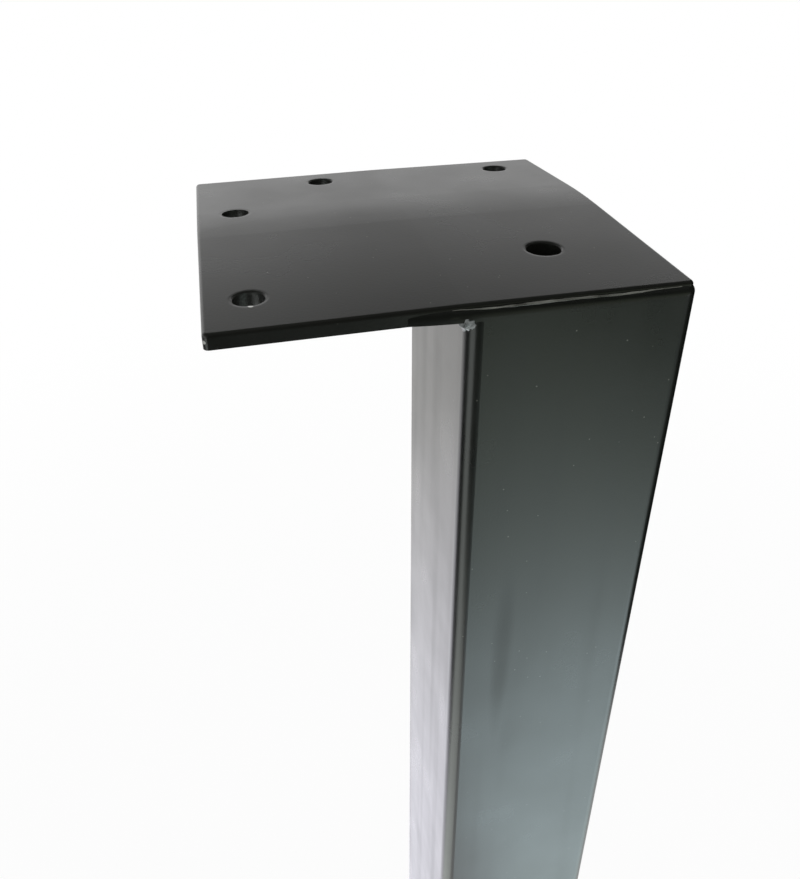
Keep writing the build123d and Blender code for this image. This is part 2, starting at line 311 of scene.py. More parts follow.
plate_coat = powder_coat("powder_coat_plate", "#0f100d", "#141511", holes=drilled,
                         pale_spots=[knocked_corner, rim_highlight_spot])
tube_coat = powder_coat("powder_coat_tube", "#0f120e", "#141713", rolled=0.006 * mm)
edge_coat = powder_coat("powder_coat_ground_weld", "#0e100d", "#131511", ground=0.012 * mm)
bead_coat = powder_coat("powder_coat_weld_bead", "#0f110e", "#151814")
# The seam's film is pale grey, a painted highlight for the bright line that light draws along the
# weld's toe
seam_highlight_coat = powder_coat("powder_coat_painted_seam_highlight", "#2b2c28", "#686963", patch=7.0 * mm)
# The weld end's pale grey is a painted reflection of the lit floor on its lumps
weld_end_reflection_coat = powder_coat("weld_end_painted_reflection", "#2f3332", "#8e9392", patch=1.8 * mm)
plug_plastic = moulded_polypropylene("moulded_polypropylene")
zinc_plate = bright_zinc("bright_zinc_plate")
pad_rubber = foot_rubber("foot_rubber")


# Shared steps for made pieces

def object_from(name, work, material):
    """An object from a finished bmesh, in place and unturned."""
    mesh = bpy.data.meshes.new(name)
    work.to_mesh(mesh)
    work.free()
    mesh.materials.append(material)
    made = bpy.data.objects.new(name, mesh)
    bpy.context.scene.collection.objects.link(made)
    return made


def soften(made, crease=32):
    """Shades a piece smooth, but for edges that turn by more degrees than the crease."""
    made.data.polygons.foreach_set("use_smooth", [True] * len(made.data.polygons))
    made.data.set_sharp_from_angle(angle=radians(crease))


def place_on(made, body, slot, *replaced):
    """Joins a piece to its body and hides the solids that it stands for; its slot is not used."""
    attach(made, body)
    if replaced:
        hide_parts(*replaced)


def grown(name, carrier, tree, sizes):
    """Runs a Geometry Nodes tree on a carrier and keeps its result as a plain mesh."""
    modifier = carrier.modifiers.new(tree.name, "NODES")
    modifier.node_group = tree
    for item in tree.interface.items_tree:
        if item.in_out == "INPUT" and item.name in sizes:
            modifier[item.identifier] = sizes[item.name]
    whole = bpy.context.evaluated_depsgraph_get()
    mesh = bpy.data.meshes.new_from_object(carrier.evaluated_get(whole))
    mesh.name = name
    carrier.modifiers.clear()
    bpy.data.objects.remove(carrier)
    made = bpy.data.objects.new(name, mesh)
    bpy.context.scene.collection.objects.link(made)
    return made


def new_tree(name, inputs):
    """A Geometry Nodes tree with its geometry sockets and named inputs."""
    tree = bpy.data.node_groups.new(name, "GeometryNodeTree")
    tree.interface.new_socket("Geometry", in_out="INPUT", socket_type="NodeSocketGeometry")
    for socket_name, socket_type in inputs.items():
        tree.interface.new_socket(socket_name, in_out="INPUT", socket_type=socket_type)
    tree.interface.new_socket("Geometry", in_out="OUTPUT", socket_type="NodeSocketGeometry")
    return tree


# Weld bead under the plate: a hand-laid run along the tube's left and back faces

weld_leg = 4.0 * mm
weld_throat = 3.46 * mm  # from the corner to the middle of the bead
ripple_pitch = 1.6 * mm  # one ripple for each move of the torch
ripple_half_length = 1.7 * mm
ripple_bow = 0.9 * mm  # each ripple trails behind at its middle
weld_sink = 0.3 * mm  # how far the bead is melted into plate and tube
weld_wrap = radians(35)  # how far the run goes on round the front left corner
cold_start = 9.0 * mm  # the first part of the run, where the bead is still thin
thin_share = 0.42  # the bead's size at its very start
wrap_steps, corner_steps = 4, 8  # straight steps that each bend of the run is cut into


def weld_ripple():
    """One frozen ripple: a quarter of a flat ellipsoid. X along the run, Y out, Z up."""
    across, along = 12, 10
    work = bmesh.new()
    rows = []
    for i in range(across + 1):
        turn = pi / 2 * i / across
        reach = weld_leg - (weld_leg - weld_throat) * sin(2 * turn) ** 2 + weld_sink
        row = []
        for j in range(1, along):
            slide = pi * j / along - pi / 2
            row.append(work.verts.new((
                ripple_half_length * sin(slide) + ripple_bow * sin(2 * turn) * cos(slide),
                reach * cos(turn) * cos(slide) - weld_sink,
                weld_sink - reach * sin(turn) * cos(slide))))
        rows.append(row)
    first = work.verts.new((-ripple_half_length, -weld_sink, weld_sink))
    last = work.verts.new((ripple_half_length, -weld_sink, weld_sink))
    for lower, upper in zip(rows, rows[1:]):
        work.faces.new((first, upper[0], lower[0]))
        work.faces.new((last, lower[-1], upper[-1]))
        for j in range(along - 2):
            work.faces.new((lower[j], upper[j], upper[j + 1], lower[j + 1]))
    work.faces.new((first, *rows[0], last))
    work.faces.new((last, *reversed(rows[-1]), first))
    bmesh.ops.recalc_face_normals(work, faces=work.faces)
    return object_from("ripple", work, bead_coat)


def weld_path():
    """The corner line between the tube and the plate, as a curve of one spline."""
    points = []
    for step in range(wrap_steps):
        turn = pi + weld_wrap * (1 - step / wrap_steps)
        points.append((-corner_centre + tube_corner_radius * cos(turn),
                       -corner_centre + tube_corner_radius * sin(turn)))
    points.append((-tube_half, -corner_centre))
    for step in range(corner_steps + 1):
        turn = pi - pi / 2 * step / corner_steps
        points.append((-corner_centre + tube_corner_radius * cos(turn),
                       corner_centre + tube_corner_radius * sin(turn)))
    points.append((corner_centre, tube_half))
    curve = bpy.data.curves.new("weld_path", "CURVE")
    curve.dimensions = "3D"
    spline = curve.splines.new("POLY")
    spline.points.add(len(points) - 1)
    for point, (x, y) in zip(spline.points, points):
        point.co = (x, y, tube_top, 1)
    path = bpy.data.objects.new("weld_path", curve)
    bpy.context.scene.collection.objects.link(path)
    return path


def ripple_tree():
    """Lays ripples along a path at one pitch, uneven in size and thin where the run starts."""
    tree = new_tree("lay_ripples", {
        "Ripple": "NodeSocketObject", "Pitch": "NodeSocketFloat", "Unevenness": "NodeSocketFloat",
        "Cold Start": "NodeSocketFloat", "Thin Share": "NodeSocketFloat", "Seed": "NodeSocketInt",
        "Finish": "NodeSocketMaterial"})
    given = add(tree, "NodeGroupInput").outputs
    steps = add(tree, "GeometryNodeResampleCurve",
                {"Curve": given["Geometry"], "Length": given["Pitch"]}, mode="LENGTH")
    tangent = add(tree, "GeometryNodeInputTangent").outputs["Tangent"]
    along = add(tree, "FunctionNodeAlignRotationToVector", {"Vector": tangent}, axis="X")
    upright = add(tree, "FunctionNodeAlignRotationToVector",
                  {"Rotation": along.outputs["Rotation"], "Vector": (0, 0, 1)},
                  axis="Z", pivot_axis="X")
    smallest = add(tree, "ShaderNodeMath", {0: 1.0, 1: given["Unevenness"]}, operation="SUBTRACT")
    swell = add(tree, "FunctionNodeRandomValue",
                {2: smallest.outputs[0], 3: 1.0, "Seed": given["Seed"]}, data_type="FLOAT")
    travelled = add(tree, "GeometryNodeSplineParameter").outputs["Length"]
    warmed = add(tree, "ShaderNodeMapRange",
                 {"Value": travelled, "From Min": 0.0, "From Max": given["Cold Start"],
                  "To Min": given["Thin Share"], "To Max": 1.0})
    more = add(tree, "ShaderNodeMath", {0: warmed.outputs["Result"], 1: swell.outputs[1]},
               operation="MULTIPLY")
    ripple = add(tree, "GeometryNodeObjectInfo", {"Object": given["Ripple"]})
    laid = add(tree, "GeometryNodeInstanceOnPoints",
               {"Points": steps.outputs["Curve"], "Instance": ripple.outputs["Geometry"],
                "Rotation": upright.outputs["Rotation"], "Scale": more.outputs[0]})
    real = add(tree, "GeometryNodeRealizeInstances", {"Geometry": laid.outputs["Instances"]})
    coated = add(tree, "GeometryNodeSetMaterial",
                 {"Geometry": real.outputs["Geometry"], "Material": given["Finish"]})
    add(tree, "NodeGroupOutput", {"Geometry": coated.outputs["Geometry"]})
    return tree


one_ripple = weld_ripple()
weld_bead = grown("weld_bead", weld_path(), ripple_tree(), {
    "Ripple": one_ripple, "Pitch": ripple_pitch, "Unevenness": 0.1, "Cold Start": cold_start,
    "Thin Share": thin_share, "Seed": 7, "Finish": bead_coat})
bpy.data.objects.remove(one_ripple)
soften(weld_bead, crease=60)
place_on(weld_bead, "leg", "coated_steel", "fillet_weld")


# Seam line: the toe of the ground weld on the plate's edge, left as a thin uneven ridge

# Points along the plate's front edge, in millimetres
seam_points = [(-33.5, -28.62, 714.95), (-31.5, -28.7, 714.98), (-26.7, -29.0, 714.87),
               (-21.8, -29.08, 714.83), (-16.8, -29.07, 714.86), (-11.7, -28.97, 714.93),
               (-6.6, -28.93, 714.95), (-1.4, -28.87, 714.93), (9.0, -28.97, 714.8),
               (14.4, -28.82, 714.92), (19.8, -28.66, 715.02), (25.2, -28.58, 715.05)]
seam_radius = 0.38 * mm
seam_thinnest, seam_thickest = 0.55, 1.15  # shares of that radius, from place to place
seam_first, seam_grown = 0.2, 0.25  # its share at the start, and where it has its full size
seam_waning, seam_last = 0.65, 0.3  # where it begins to thin out, and its share at the end


def seam_path():
    """The seam's line along the plate's edge, as a curve of one spline."""
    curve = bpy.data.curves.new("seam_path", "CURVE")
    curve.dimensions = "3D"
    spline = curve.splines.new("POLY")
    spline.points.add(len(seam_points) - 1)
    for point, (x, y, z) in zip(spline.points, seam_points):
        point.co = (x * mm, y * mm, z * mm, 1)
    path = bpy.data.objects.new("seam_path", curve)
    bpy.context.scene.collection.objects.link(path)
    return path


def seam_tree():
    """Sweeps a small round along the path, swells and wanders it, and thins both ends."""
    tree = new_tree("lay_seam", {
        "Radius": "NodeSocketFloat", "Step": "NodeSocketFloat", "Wave": "NodeSocketFloat",
        "Wander": "NodeSocketFloat", "Seed": "NodeSocketFloat", "Finish": "NodeSocketMaterial"})
    given = add(tree, "NodeGroupInput").outputs
    steps = add(tree, "GeometryNodeResampleCurve",
                {"Curve": given["Geometry"], "Length": given["Step"]}, mode="LENGTH")
    place = add(tree, "GeometryNodeInputPosition").outputs["Position"]
    scaled = add(tree, "ShaderNodeVectorMath", {0: place, "Scale": given["Wave"]},
                 operation="SCALE")
    swell = add(tree, "ShaderNodeTexNoise",
                {"Vector": scaled.outputs[0], "W": given["Seed"], "Scale": 1.0, "Detail": 2.0},
                noise_dimensions="4D")
    uneven = add(tree, "ShaderNodeMapRange",
                 {"Value": swell.outputs["Fac"], "From Min": noise_low, "From Max": noise_high,
                  "To Min": seam_thinnest, "To Max": seam_thickest})
    along = add(tree, "GeometryNodeSplineParameter").outputs["Factor"]
    grow = add(tree, "ShaderNodeMapRange",
               {"Value": along, "From Min": 0.0, "From Max": seam_grown,
                "To Min": seam_first, "To Max": 1.0})
    shrink = add(tree, "ShaderNodeMapRange",
                 {"Value": along, "From Min": seam_waning, "From Max": 1.0,
                  "To Min": 1.0, "To Max": seam_last})
    ends = add(tree, "ShaderNodeMath", {0: grow.outputs["Result"], 1: shrink.outputs["Result"]},
               operation="MULTIPLY")
    size = add(tree, "ShaderNodeMath", {0: ends.outputs[0], 1: uneven.outputs["Result"]},
               operation="MULTIPLY")
    radius = add(tree, "ShaderNodeMath", {0: size.outputs[0], 1: given["Radius"]},
                 operation="MULTIPLY")
    from_middle = add(tree, "ShaderNodeVectorMath",
                      {0: swell.outputs["Color"], 1: (0.5, 0.5, 0.5)}, operation="SUBTRACT")
    offset = add(tree, "ShaderNodeVectorMath",
                 {0: from_middle.outputs[0], "Scale": given["Wander"]}, operation="SCALE")
    wandering = add(tree, "GeometryNodeSetPosition",
                    {"Geometry": steps.outputs["Curve"], "Offset": offset.outputs[0]})
    sized = add(tree, "GeometryNodeSetCurveRadius",
                {"Curve": wandering.outputs["Geometry"], "Radius": radius.outputs[0]})
    section = add(tree, "GeometryNodeCurvePrimitiveCircle", {"Resolution": 12, "Radius": 1.0})
    swept = add(tree, "GeometryNodeCurveToMesh",
                {"Curve": sized.outputs["Curve"], "Profile Curve": section.outputs["Curve"],
                 "Scale": radius.outputs[0], "Fill Caps": True})
    real = add(tree, "GeometryNodeRealizeInstances", {"Geometry": swept.outputs["Mesh"]})
    coated = add(tree, "GeometryNodeSetMaterial",
                 {"Geometry": real.outputs["Geometry"], "Material": given["Finish"]})
    add(tree, "NodeGroupOutput", {"Geometry": coated.outputs["Geometry"]})
    return tree


# Its pale finish paints the bright highlight line along the seam
seam_line = grown("seam_line", seam_path(), seam_tree(), {
    "Radius": seam_radius, "Step": 0.4 * mm, "Wave": 1 / (5 * mm), "Wander": 0.25 * mm,
    "Seed": 3.0, "Finish": seam_highlight_coat})
soften(seam_line, crease=60)
place_on(seam_line, "leg", "coated_steel")


# Weld end: the cold, lumpy start of the bead on the tube's front left corner

end_radius = 1.95 * mm
end_turn = pi + radians(34)  # its place on the rounded corner
end_reach = tube_corner_radius + 0.6 * mm  # its middle, from the corner's centre
end_drop = 0.5 * mm  # its middle, below the plate
end_melt = 1.0 * mm  # how far its top is melted into the plate
# Lumps and drops: how closely they lie, how far they swell the ball, and a fixed seed
lumps, lump_swell, lump_seed = 2.1, 0.36, Vector((3.1, 0.4, 7.7))
drops, drop_swell, drop_seed = 3.4, 0.12, Vector((0.2, 5.5, 1.9))


def weld_end_lump():
    """A ball pressed against the corner, swollen by coarse lumps and small drops."""
    centre = Vector((-corner_centre + end_reach * cos(end_turn),
                     -corner_centre + end_reach * sin(end_turn), tube_top - end_drop))
    work = bmesh.new()
    bmesh.ops.create_icosphere(work, subdivisions=5, radius=1.0)
    for vertex in work.verts:
        way = vertex.co.normalized()
        coarse = noise.noise(way * lumps + lump_seed)
        fine = noise.noise(way * drops + drop_seed)
        vertex.co = centre + way * end_radius * (1 + lump_swell * coarse + drop_swell * fine)
        vertex.co.z = min(vertex.co.z, tube_top + end_melt)
    return object_from("weld_end", work, weld_end_reflection_coat)


# Its pale grey finish is a painted reflection of the lit floor
weld_end = weld_end_lump()
soften(weld_end, crease=60)
place_on(weld_end, "leg", "coated_steel")


# Foot stud: an M10 thread, a wrench hexagon, a neck and the head that the base traps

thread_radius = 5.0 * mm
thread_pitch = 1.5 * mm
thread_depth = 0.92 * mm  # from the crest to the root of a rolled M10 thread
head_radius = 7.5 * mm
neck_radius = 4.7 * mm
head_height = 3.0 * mm
wrench_bottom = stud_bottom + 8.5 * mm
wrench_top = wrench_bottom + 6.0 * mm
wrench_flat = 8.5 * mm  # from the axis to a flat
wrench_corner = 17.0 * mm / sqrt(3) - 0.2 * mm  # from the axis to a rounded corner
wrench_chamfer = 0.8 * mm
thread_start = wrench_top + 1.0 * mm  # over the plain part above the hexagon
lead_in = 1.2 * mm  # cone at the thread's tip
thread_end = stud_top - lead_in
half_flat = 1 / 16  # half the narrow flat at the thread's crest and root, in pitches
edge_break = 0.3 * mm
sides = 96
rings_per_pitch = 10
chamfer_steps, tip_steps = 4, 8


def stud_rings():
    """Height, radius and whether the ring is cut to the wrench's six flats."""
    rings = [
        (stud_bottom, head_radius - edge_break, False),
        (stud_bottom + edge_break, head_radius, False),
        (stud_bottom + head_height - edge_break, head_radius, False),
        (stud_bottom + head_height, head_radius - edge_break, False),
        (stud_bottom + head_height, neck_radius, False),
        (wrench_bottom, neck_radius, False),
    ]
    for step in range(chamfer_steps + 1):
        part = step / chamfer_steps
        rings.append((wrench_bottom + wrench_chamfer * part,
                      wrench_corner - wrench_chamfer * (1 - part), True))
    for step in range(chamfer_steps + 1):
        part = step / chamfer_steps
        rings.append((wrench_top - wrench_chamfer * (1 - part),
                      wrench_corner - wrench_chamfer * part, True))
    rings.append((wrench_top, thread_radius - thread_depth / 2, False))
    length = thread_end - thread_start
    count = round(length / thread_pitch * rings_per_pitch)
    for step in range(count + 1):
        rings.append((thread_start + length * step / count, thread_radius, False))
    for step in range(1, tip_steps + 1):
        part = step / tip_steps
        rings.append((stud_top - lead_in * (1 - part), thread_radius - lead_in * part, False))
    return rings


def stud_blank():
    """The turned stud before its thread is rolled."""
    work = bmesh.new()
    rings = []
    for height, radius, six_flats in stud_rings():
        ring = []
        for side in range(sides):
            turn = 2 * pi * side / sides
            from_flat = (turn + pi / 6) % (pi / 3) - pi / 6
            reach = min(radius, wrench_flat / cos(from_flat)) if six_flats else radius
            ring.append(work.verts.new((reach * cos(turn), reach * sin(turn), height)))
        rings.append(ring)
    for lower, upper in zip(rings, rings[1:]):
        for side in range(sides):
            after = (side + 1) % sides
            work.faces.new((lower[side], lower[after], upper[after], upper[side]))
    work.faces.new(list(reversed(rings[0])))
    work.faces.new(rings[-1])
    return object_from("stud_blank", work, zinc_plate)


def thread_tree():
    """Presses a helical groove into whatever lies between two heights."""
    tree = new_tree("roll_thread", {
        "Pitch": "NodeSocketFloat", "Depth": "NodeSocketFloat", "From Height": "NodeSocketFloat",
        "Run Out": "NodeSocketFloat", "Finish": "NodeSocketMaterial"})
    given = add(tree, "NodeGroupInput").outputs
    place = add(tree, "GeometryNodeInputPosition").outputs["Position"]
    axes = add(tree, "ShaderNodeSeparateXYZ", {"Vector": place}).outputs
    angle = add(tree, "ShaderNodeMath", {0: axes["Y"], 1: axes["X"]}, operation="ARCTAN2")
    turn = add(tree, "ShaderNodeMath", {0: angle.outputs[0], 1: 2 * pi}, operation="DIVIDE")
    climb = add(tree, "ShaderNodeMath", {0: axes["Z"], 1: given["Pitch"]}, operation="DIVIDE")
    phase = add(tree, "ShaderNodeMath", {0: climb.outputs[0], 1: turn.outputs[0]},
                operation="SUBTRACT")
    # A 60 degree thread: straight flanks with a narrow flat at crest and root
    up_and_down = add(tree, "ShaderNodeMath", {0: phase.outputs[0], 1: 0.5}, operation="PINGPONG")
    flank = add(tree, "ShaderNodeMapRange",
                {"Value": up_and_down.outputs[0],
                 "From Min": half_flat, "From Max": 0.5 - half_flat})
    above = add(tree, "ShaderNodeMath", {0: axes["Z"], 1: given["From Height"]},
                operation="SUBTRACT")
    fade = add(tree, "ShaderNodeMapRange",
               {"Value": above.outputs[0], "From Min": 0.0, "From Max": given["Run Out"]})
    cut = add(tree, "ShaderNodeMath", {0: flank.outputs["Result"], 1: fade.outputs["Result"]},
              operation="MULTIPLY")
    inward = add(tree, "ShaderNodeMath", {0: cut.outputs[0], 1: given["Depth"]},
                 operation="MULTIPLY")
    flat_place = add(tree, "ShaderNodeVectorMath", {0: place, 1: (1, 1, 0)}, operation="MULTIPLY")
    outward = add(tree, "ShaderNodeVectorMath", {0: flat_place.outputs[0]}, operation="NORMALIZE")
    back = add(tree, "ShaderNodeMath", {0: inward.outputs[0], 1: -1.0}, operation="MULTIPLY")
    offset = add(tree, "ShaderNodeVectorMath",
                 {0: outward.outputs[0], "Scale": back.outputs[0]}, operation="SCALE")
    rolled = add(tree, "GeometryNodeSetPosition",
                 {"Geometry": given["Geometry"], "Offset": offset.outputs[0]})
    real = add(tree, "GeometryNodeRealizeInstances", {"Geometry": rolled.outputs["Geometry"]})
    plated = add(tree, "GeometryNodeSetMaterial",
                 {"Geometry": real.outputs["Geometry"], "Material": given["Finish"]})
    add(tree, "NodeGroupOutput", {"Geometry": plated.outputs["Geometry"]})
    return tree


threaded_stud = grown("threaded_stud", stud_blank(), thread_tree(), {
    "Pitch": thread_pitch, "Depth": thread_depth, "From Height": thread_start,
    "Run Out": thread_pitch, "Finish": zinc_plate})
soften(threaded_stud)
place_on(threaded_stud, "stud", "zinc_steel", "foot_stud")


# Moulded foot and its pad, both turned about the leg's axis

turned_sides = 128
fillet_steps = 5


def rounded(corners):
    """An outline in millimetres whose corners (out, up, fillet) are rounded, in metres."""
    outline = []
    for index, (out, up, fillet) in enumerate(corners):
        here = Vector((out, up))
        if not fillet:
            outline.append(here * mm)
            continue
        before = (Vector(corners[index - 1][:2]) - here).normalized()
        after = (Vector(corners[(index + 1) % len(corners)][:2]) - here).normalized()
        half = before.angle(after) / 2
        middle = here + (before + after).normalized() * fillet / sin(half)
        start = here + before * fillet / tan(half) - middle
        end = here + after * fillet / tan(half) - middle
        swing = atan2(start.x * end.y - start.y * end.x, start.dot(end))
        for step in range(fillet_steps + 1):
            turn = swing * step / fillet_steps
            outline.append((middle + Vector((start.x * cos(turn) - start.y * sin(turn),
                                             start.x * sin(turn) + start.y * cos(turn)))) * mm)
    return outline


def turned(name, outline, material):
    """A body turned from the closed outline of its half section."""
    work = bmesh.new()
    rings = []
    for out, up in outline:
        if out == 0:
            rings.append([work.verts.new((0, 0, up))])
            continue
        turns = [2 * pi * side / turned_sides for side in range(turned_sides)]
        rings.append([work.verts.new((out * cos(turn), out * sin(turn), up)) for turn in turns])
    for near, far in zip(rings, rings[1:] + rings[:1]):
        for side in range(turned_sides):
            after = (side + 1) % turned_sides
            corners = (near[side % len(near)], near[after % len(near)],
                       far[after % len(far)], far[side % len(far)])
            corners = list(dict.fromkeys(corners))
            if len(corners) > 2:
                work.faces.new(corners)
    bmesh.ops.recalc_face_normals(work, faces=work.faces)
    made = object_from(name, work, material)
    soften(made)
    return made


moulded_foot = turned("moulded_foot", rounded([
    (19.2, 1.0, 0.2), (22.0, 1.0, 0.5), (22.0, 5.5, 1.5), (16.95, 7.8, 14.0), (12.5, 11.0, 1.1),
    (4.8, 11.0, 0.4), (4.8, 6.1, 0), (7.8, 6.1, 0), (7.8, 2.5, 0), (19.2, 2.5, 0)]), plug_plastic)
place_on(moulded_foot, "foot", "black_plastic", "foot_base")

# The pad's tread: rings 1 mm wide and 0.7 mm deep, and a shallow hollow in the middle
tread = [(0, 0.6, 0), (3.0, 0.6, 0.2), (3.3, 0, 0.15)]
for groove in (7.1, 11.1, 15.1):
    tread += [(groove, 0, 0.15), (groove + 0.2, 0.7, 0.1), (groove + 1.2, 0.7, 0.1),
              (groove + 1.4, 0, 0.15)]
tread += [(19.0, 0, 0.5), (19.0, 2.5, 0), (0, 2.5, 0)]
treaded_pad = turned("treaded_pad", rounded(tread), pad_rubber)
place_on(treaded_pad, "foot", "rubber_pad", "foot_pad")


# Better materials on the solids that show as they are

solid_finishes = {
    "mounting_plate": plate_coat,
    "leg_tube": tube_coat,
    "edge_weld": edge_coat,
    "tube_plug": plug_plastic,
    "thread_bush": zinc_plate,
}
for node, finish in solid_finishes.items():
    for material_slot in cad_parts[node].material_slots:
        material_slot.material = finish


# Floor, light and cards

def flat_card(name, corner, edge_a, edge_b, material):
    """A flat rectangle from one corner along two edges."""
    start, a, b = Vector(corner), Vector(edge_a), Vector(edge_b)
    mesh = bpy.data.meshes.new(name)
    mesh.from_pydata([start, start + a, start + a + b, start + b], [], [(0, 1, 2, 3)])
    mesh.materials.append(material)
    card = bpy.data.objects.new(name, mesh)
    bpy.context.scene.collection.objects.link(card)
    return card


def pale_floor():
    """White to the eye and to reflections, with a share that still takes the shadow.
    From below it lets the eye through, so that the foot can be looked at."""
    material, tree = finish_coat("pale_floor")
    path = add(tree, "ShaderNodeLightPath").outputs
    seen = add(tree, "ShaderNodeMath",
               {0: path["Is Camera Ray"], 1: path["Is Glossy Ray"]}, operation="MAXIMUM")
    seen = add(tree, "ShaderNodeMath",
               {0: seen.outputs[0], 1: path["Is Transmission Ray"]}, operation="MAXIMUM")
    # The share is 0.9 within 0.4 m of the leg and grows to 1 at 1.6 m, so no horizon shows
    place = add(tree, "ShaderNodeTexCoord").outputs["Object"]
    away = add(tree, "ShaderNodeVectorMath", {0: place}, operation="LENGTH")
    near = add(tree, "ShaderNodeMapRange",
               {"Value": away.outputs["Value"], "From Min": 0.4, "From Max": 1.6,
                "To Min": 0.9, "To Max": 1.0}, interpolation_type="SMOOTHSTEP")
    share = add(tree, "ShaderNodeMath", {0: seen.outputs[0], 1: near.outputs["Result"]},
                operation="MULTIPLY")
    paint = add(tree, "ShaderNodeBsdfDiffuse", {"Color": linear("#f4f4f4")})
    white = add(tree, "ShaderNodeEmission", {"Color": (1, 1, 1, 1), "Strength": 1.0})
    both = add(tree, "ShaderNodeMixShader",
               {0: share.outputs[0], 1: paint.outputs[0], 2: white.outputs[0]})
    under = add(tree, "ShaderNodeNewGeometry").outputs["Backfacing"]
    clear = add(tree, "ShaderNodeBsdfTransparent")
    whole = add(tree, "ShaderNodeMixShader", {0: under, 1: both.outputs[0], 2: clear.outputs[0]})
    add(tree, "ShaderNodeOutputMaterial", {"Surface": whole.outputs[0]})
    return material


def black_cloth():
    """Matt black felt, which leaves a reflection dark."""
    material, tree = finish_coat("black_cloth")
    felt = add(tree, "ShaderNodeBsdfDiffuse", {"Color": linear("#0c0c0c")})
    add(tree, "ShaderNodeOutputMaterial", {"Surface": felt.outputs[0]})
    return material


def reflector(name, corner, edge_a, edge_b, near, far, near_colour, far_colour, aside=None,
              axis="Y"):
    """A lit card, for reflections. near and far say (place, strength) along an axis, and aside
    fades it to the right between (place, share) and (place, share)."""
    material, tree = finish_coat(name)
    place = add(tree, "ShaderNodeTexCoord").outputs["Object"]
    axes = add(tree, "ShaderNodeSeparateXYZ", {"Vector": place}).outputs
    strength = add(tree, "ShaderNodeMapRange",
                   {"Value": axes[axis], "From Min": far[0], "From Max": near[0],
                    "To Min": far[1], "To Max": near[1]}).outputs["Result"]
    tint = add(tree, "ShaderNodeMapRange",
               {"Value": axes[axis], "From Min": far[0], "From Max": near[0]})
    colour = add(tree, "ShaderNodeMix",
                 {"Factor": tint.outputs["Result"], 6: linear(far_colour), 7: linear(near_colour)},
                 data_type="RGBA")
    if aside:
        share = add(tree, "ShaderNodeMapRange",
                    {"Value": axes["X"], "From Min": aside[0][0], "From Max": aside[1][0],
                     "To Min": aside[0][1], "To Max": aside[1][1]})
        strength = add(tree, "ShaderNodeMath", {0: strength, 1: share.outputs["Result"]},
                       operation="MULTIPLY").outputs[0]
    glow = add(tree, "ShaderNodeEmission", {"Color": colour.outputs[2], "Strength": strength})
    add(tree, "ShaderNodeOutputMaterial", {"Surface": glow.outputs[0]})
    return flat_card(name, corner, edge_a, edge_b, material)


floor_reach = 12.0
flat_card("floor", (-floor_reach, -floor_reach, 0), (2 * floor_reach, 0, 0),
          (0, 2 * floor_reach, 0), pale_floor())

cloth = black_cloth()
above_floor = 2 * mm
cards = [
    # The dark room behind the camera, beside it a wall that dims upwards, and dark cloth left
    # and right
    flat_card("card_behind_camera", (-0.45, -0.55, 0), (0.56, 0, 0), (0, 0, 1.7), cloth),
    reflector("card_front_high", (0.11, -0.55, 0.57), (1.16, 0, 0), (0, 0, 1.13),
              (0.72, 0.44), (1.05, 0.02), "#eaf8da", "#eaf8da", axis="Z"),
    flat_card("card_left", (-0.42, -0.12, 0), (0, 0.32, 0), (0, 0, 0.62), cloth),
    flat_card("card_right", (0.5, -0.3, 0), (0, 0.8, 0), (0, 0, 1.2), cloth),
    # The lit floor, as the tube's front face, left face and rounded corner show it
    reflector("front_reflector", (0.08, -2.2, above_floor), (1.5, 0, 0), (0, 2.1, 0),
              (-0.5, 2.3), (-1.6, 0.43), "#e6f6f4", "#eaf8da", ((0.3, 1.0), (0.95, 0.25))),
    reflector("rear_reflector", (-0.9, 0.05, above_floor), (0.9, 0, 0), (0, 2.0, 0),
              (0.28, 2.4), (1.0, 1.3), "#f4f3fc", "#fbfaf8"),
    reflector("left_reflector", (-1.7, -1.4, above_floor), (1.61, 0, 0), (0, 1.43, 0),
              (-0.35, 3.0), (-0.6, 1.9), "#eef4f0", "#eef4f0", axis="X"),
    # Lies over the far right of the lit floor, and darkens the top right of the front face
    reflector("dim_far_right", (0.66, -2.2, 2 * above_floor), (0.92, 0, 0), (0, 1.3, 0),
              (-0.9, 0.26), (-1.6, 0.2), "#e6f6f4", "#eaf8da"),
]
for card in cards:
    card.visible_camera = False
    card.visible_diffuse = False
    card.visible_shadow = False

# The sky that reflections see: heights above the horizon, and levels where 1 is white
wall_low, wall_high = sin(radians(16)), sin(radians(28.5))
wall_bright, wall_dim = 1.15, 0.18
left_low, left_high = sin(radians(12)), sin(radians(22))
left_dim, left_bright = 0.95, 1.5
right_start, right_end, right_share = -0.06, 0.16, 0.9
ceiling_low, ceiling_high = sin(radians(42)), sin(radians(58))
ceiling_share = 0.3
soft_level = 0.7  # the light that falls on the leg from all round

scene = bpy.context.scene
scene.world = bpy.data.worlds.new("studio")
scene.world.use_nodes = True
sky = scene.world.node_tree
sky.nodes.clear()
direction = add(sky, "ShaderNodeTexCoord").outputs["Generated"]
axes = add(sky, "ShaderNodeSeparateXYZ", {"Vector": direction}).outputs
# A bright wall that fades upwards and to the right, as a window would light it
fade = add(sky, "ShaderNodeMapRange",
           {"Value": axes["Z"], "From Min": wall_low, "From Max": wall_high,
            "To Min": wall_bright, "To Max": wall_dim}, interpolation_type="SMOOTHSTEP")
left = add(sky, "ShaderNodeMapRange",
           {"Value": axes["Z"], "From Min": left_low, "From Max": left_high,
            "To Min": left_dim, "To Max": left_bright})
side = add(sky, "ShaderNodeMapRange",
           {"Value": axes["X"], "From Min": right_start, "From Max": right_end,
            "To Min": left.outputs["Result"], "To Max": right_share})
beside = add(sky, "ShaderNodeMath", {0: fade.outputs["Result"], 1: side.outputs["Result"]},
             operation="MULTIPLY")
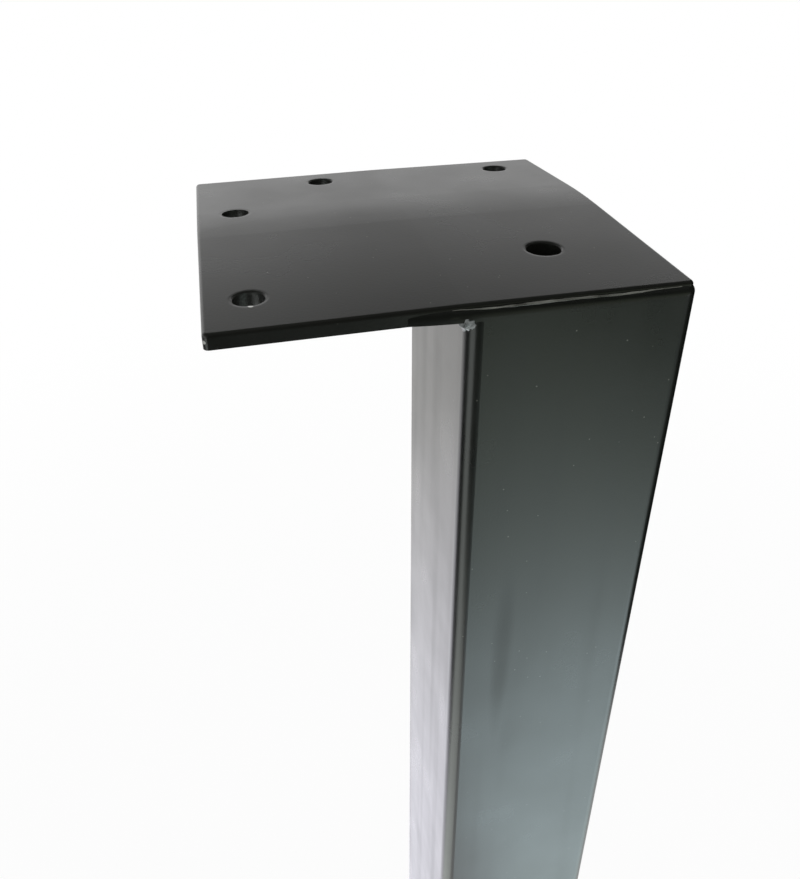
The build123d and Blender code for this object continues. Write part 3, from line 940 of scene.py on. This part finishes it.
# The ceiling is dark, which leaves the rounded edges nearly black
ceiling = add(sky, "ShaderNodeMapRange",
              {"Value": axes["Z"], "From Min": ceiling_low, "From Max": ceiling_high,
               "To Min": 1.0, "To Max": ceiling_share})
wall = add(sky, "ShaderNodeMath", {0: beside.outputs[0], 1: ceiling.outputs["Result"]},
           operation="MULTIPLY")
ray = add(sky, "ShaderNodeLightPath").outputs
to_gloss = add(sky, "ShaderNodeMix", {0: ray["Is Glossy Ray"], 2: soft_level, 3: wall.outputs[0]},
               data_type="FLOAT")
# The camera sees plain white behind the leg
level = add(sky, "ShaderNodeMix", {0: ray["Is Camera Ray"], 2: to_gloss.outputs[0], 3: 1.0},
            data_type="FLOAT")
glow = add(sky, "ShaderNodeBackground", {"Color": (1, 1, 1, 1), "Strength": level.outputs[0]})
add(sky, "ShaderNodeOutputWorld", {"Surface": glow.outputs[0]})


def soft_lamp(name, place, target, width, depth, power, colour="#ffffff"):
    """A softbox that lights the leg but isn't seen by the camera."""
    light = bpy.data.lights.new(name, "AREA")
    light.shape = "RECTANGLE"
    light.size = width
    light.size_y = depth
    light.energy = power
    light.color = linear(colour)[:3]
    lamp = bpy.data.objects.new(name, light)
    scene.collection.objects.link(lamp)
    lamp.location = place
    lamp.rotation_euler = (Vector(target) - Vector(place)).to_track_quat("-Z", "Y").to_euler()
    lamp.visible_camera = False
    return lamp


soft_lamp("low_front_softbox", (0.26, -0.33, 0.05), (0.24, -0.33, 1.0),
          width=0.3, depth=0.42, power=0.52, colour="#d8f0ff")
overhead = soft_lamp("overhead_softbox", (0.0, -0.3, 2.4), (0, 0, 0.5),
                     width=1.6, depth=1.6, power=12.0)
overhead.visible_glossy = False


# Camera at the photograph's place

camera_place = Vector((-83.18, -195.41, 801.67)) * mm
look_right = Vector((0.97565025, -0.21931473, -0.00276322))
look_ahead = Vector((0.1861095, 0.83446745, -0.51867844))
look_up = look_right.cross(look_ahead)
image_width = 800
focal_pixels = 828.69
centre_x, centre_y = 400.49, 379.2  # where the optical axis meets the photograph
image_middle = (400, 439.5)

lens = bpy.data.cameras.new("photo_camera")
lens.sensor_fit = "HORIZONTAL"
lens.sensor_width = 36
lens.lens = focal_pixels / image_width * lens.sensor_width
lens.shift_x = (image_middle[0] - centre_x) / image_width
lens.shift_y = (centre_y - image_middle[1]) / image_width
lens.clip_start = 0.01
camera = bpy.data.objects.new("photo_camera", lens)
scene.collection.objects.link(camera)
camera.matrix_world = Matrix((
    (look_right.x, look_up.x, -look_ahead.x, camera_place.x),
    (look_right.y, look_up.y, -look_ahead.y, camera_place.y),
    (look_right.z, look_up.z, -look_ahead.z, camera_place.z),
    (0, 0, 0, 1)))
scene.camera = camera
scene.view_settings.view_transform = "Standard"

bpy.context.view_layer.update()
